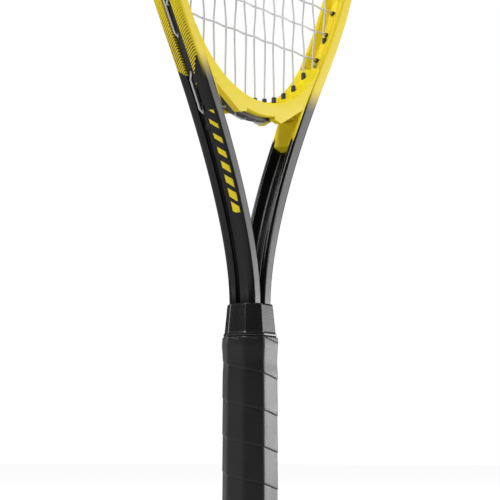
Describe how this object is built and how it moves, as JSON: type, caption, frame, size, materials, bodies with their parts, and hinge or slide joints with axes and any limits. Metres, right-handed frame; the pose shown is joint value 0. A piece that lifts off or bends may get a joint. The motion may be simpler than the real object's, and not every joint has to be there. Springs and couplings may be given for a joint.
{
  "type": "tennis racket",
  "caption": "Metal-framed tennis racket: strung oval head, open throat closed by a moulded yoke, bumper guard over the tip, and an octagonal wrapped grip with a butt cap.",
  "frame": {"origin": "centre of the butt cap's end face, on the racket's long axis", "axes": "+Z from the butt to the head's tip, X across the string bed, Y through the string bed; the front face looks along -Y"},
  "size_m": [0.2816, 0.037, 0.6985],
  "materials": {
    "painted_frame": "gloss yellow fading to gloss black towards the shafts",
    "yoke_plastic": "gloss yellow moulding",
    "rivet_metal": "black anodised",
    "guard_plastic": "satin moulded black",
    "grommet_plastic": "satin moulded black",
    "clear_plastic": "clear",
    "string": "silvery white nylon",
    "handle_foam": "moulded hard foam",
    "cap_plastic": "satin moulded black",
    "staple_steel": "plain",
    "grip_wrap": "matt black synthetic leather, overlapped in a helix",
    "tape": "satin black adhesive tape",
    "collar_rubber": "satin black"
  },
  "bodies": {
    "root": {"frame_tube": "painted_frame", "throat_yoke": "yoke_plastic", "yoke_rivet_left": "rivet_metal", "yoke_rivet_right": "rivet_metal", "bumper_guard": "guard_plastic", "grommet_strip_left": "grommet_plastic", "grommet_strip_right": "grommet_plastic", "throat_grommet_strip": "grommet_plastic", "string_ferrule_left": "clear_plastic", "string_ferrule_right": "clear_plastic", "main_string": "string", "cross_string": "string", "pallet_front": "handle_foam", "pallet_back": "handle_foam", "butt_cap": "cap_plastic", "butt_staple_front": "staple_steel", "butt_staple_back": "staple_steel", "grip_wrap": "grip_wrap", "finishing_tape": "tape", "grip_collar": "collar_rubber"}
  },
  "joints": []
}
